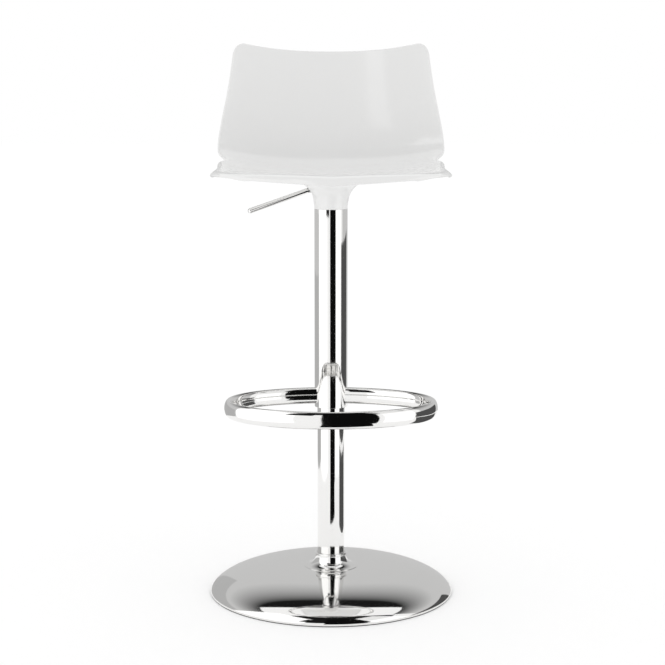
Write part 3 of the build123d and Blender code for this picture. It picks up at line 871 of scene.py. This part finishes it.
floor_mesh = bpy.data.meshes.new("studio_floor")
FLOOR_REACH = 30.0
FLOOR_COLOUR = (0.97, 0.97, 0.97)
FLOOR_GLOW = 0.05
floor_mesh.from_pydata(
    [
        (-FLOOR_REACH, -FLOOR_REACH, 0),
        (FLOOR_REACH, -FLOOR_REACH, 0),
        (FLOOR_REACH, FLOOR_REACH, 0),
        (-FLOOR_REACH, FLOOR_REACH, 0),
    ],
    [],
    [(0, 1, 2, 3)],
)
floor_mesh.materials.append(plain_stage("pale floor", FLOOR_COLOUR, even_glow(FLOOR_GLOW)))
floor = bpy.data.objects.new("studio_floor", floor_mesh)
bpy.context.scene.collection.objects.link(floor)
print("floor laid")

# %% [markdown]
# Chrome shows nothing but its surroundings, so the room is dressed as a product studio
# would be. There's a broad white box to the left and a narrower one to the right, with
# black boards where the plating should go dark. A grey wall curves round behind, and
# more dark boards lie on the floor and hang overhead. Only shiny pieces see any of them.


# %% Ways to put up a board
UNLIT = (0.0, 0.0, 0.0)
WALL_STEPS = 40


def stage_mesh(name, corners, faces, finish):
    """Something round the stool that only shiny pieces can see."""
    mesh = bpy.data.meshes.new(name)
    mesh.from_pydata(corners, [], faces)
    mesh.materials.append(finish)
    panel = bpy.data.objects.new(name, mesh)
    bpy.context.scene.collection.objects.link(panel)
    panel.visible_camera = False
    panel.visible_shadow = False
    panel.visible_transmission = False
    panel.visible_diffuse = False
    return panel


def board(name, bearing, half_angle, distance, bottom, top, glow):
    """An upright board facing the column; bearing 0 is straight in front of the seat."""
    middle = math.radians(bearing)
    half = distance * math.tan(math.radians(half_angle))
    centre = Vector((math.sin(middle) * distance, -math.cos(middle) * distance, 0))
    along_board = Vector((math.cos(middle), math.sin(middle), 0)) * half
    corners = []
    for side_sign, height in ((-1, bottom), (1, bottom), (1, top), (-1, top)):
        corners.append(tuple(centre + along_board * side_sign + Vector((0, 0, height))))
    return stage_mesh(name, corners, [(0, 1, 2, 3)], plain_stage(name, UNLIT, glow))


def flat_board(name, height, outline, level):
    """A board lying level, drawn by its four corners in plan."""
    corners = [(x, y, height) for x, y in outline]
    finish = plain_stage(name, UNLIT, even_glow(level))
    return stage_mesh(name, corners, [(0, 1, 2, 3)], finish)


def long_wall(name, from_bearing, to_bearing, distance, top, glow):
    """A wall curved round the column, for the soft grey end of the room."""
    corners = []
    faces = []
    for step in range(WALL_STEPS + 1):
        share = step / WALL_STEPS
        bearing = math.radians(from_bearing + (to_bearing - from_bearing) * share)
        x, y = math.sin(bearing) * distance, -math.cos(bearing) * distance
        corners += [(x, y, 0), (x, y, top)]
        if step:
            last = 2 * step
            faces.append((last - 2, last, last + 1, last - 1))
    return stage_mesh(name, corners, faces, plain_stage(name, UNLIT, glow))


print("a board can stand, lie flat or curve")

# %% [markdown]
# Upright boards are placed by their bearing from the column, in degrees to the camera's
# right. The right-hand box dims from the height of the seat upwards, and the wall fades
# from grey to nearly black as it rises.

# %% Boards and light boxes
BOX_WHITE = 1.25
BOX_DIMMED = 0.9
BLACK = 0.004
NEARLY_BLACK = 0.01
DARK_GREY = 0.08
MID_GREY = 0.48
ROOM_TOP = 2.3
WALL_GLOW = (0.6, 0.02, 1.0, 2.3)
board("box_left", -58, 33, 0.85, 0.0, 2.0, even_glow(BOX_WHITE))
board("box_right", 53, 16, 0.9, 0.0, 2.0, (BOX_WHITE, BOX_DIMMED, 0.75, 0.95))
board("flag_front", 13, 19, 0.8, 0.0, 2.2, even_glow(BLACK))
board("flag_high", -22, 10, 0.8, 0.72, 1.5, even_glow(NEARLY_BLACK))
board("flag_right", 105, 30, 1.4, 0.0, 0.6, even_glow(DARK_GREY))
board("grey_left", -125, 30, 1.0, 0.0, 0.5, even_glow(MID_GREY))
long_wall("long_wall", 85, 275, 1.7, ROOM_TOP, WALL_GLOW)
print("upright boards up")

# %% [markdown]
# Dark boards lying just above the floor, one in front and one to the right, and two
# hung level overhead.

# %% Level boards
FLOOR_GAP = 0.002
ROOM_HALF_WIDTH = 1.9
FLOOR_FLAGS = (
    ("flag_floor", [(-0.06, -0.42), (0.25, -0.42), (0.46, -0.85), (-0.09, -0.85)], BLACK),
    ("flag_floor_right", [(0.4, -0.12), (1.35, -0.35), (1.0, 1.0), (0.3, 0.3)], DARK_GREY),
)
TOP_FLAGS = (("flag_top_back", 0.85, 1.8), ("flag_top_front", -2.4, -0.25))
for name, outline, level in FLOOR_FLAGS:
    flat_board(name, FLOOR_GAP, outline, level)
for name, near, far in TOP_FLAGS:
    outline = [
        (-ROOM_HALF_WIDTH, near),
        (ROOM_HALF_WIDTH, near),
        (ROOM_HALF_WIDTH, far),
        (-ROOM_HALF_WIDTH, far),
    ]
    flat_board(name, ROOM_TOP, outline, NEARLY_BLACK)
print("level boards laid")

# %% [markdown]
# ## Camera
# A long lens at the height of the seat's back, tipped down a little, so the seat is seen
# almost edge on and the base from above.

# %% Camera
CAMERA_DISTANCE = 2.9241
CAMERA_HEIGHT = 0.9034
CAMERA_TIP = 8.18
LENS = 87.62
SHIFT = 0.00226
camera_data = bpy.data.cameras.new("camera")
camera_data.lens = LENS
camera_data.sensor_width = 36.0
camera_data.shift_x = SHIFT
camera_data.clip_end = 100.0
camera = bpy.data.objects.new("camera", camera_data)
camera.location = (0, -CAMERA_DISTANCE, CAMERA_HEIGHT)
camera.rotation_euler = (math.radians(90 - CAMERA_TIP), 0, 0)
bpy.context.scene.collection.objects.link(camera)
bpy.context.scene.camera = camera
bpy.context.scene.view_settings.view_transform = "Standard"
print("camera set")
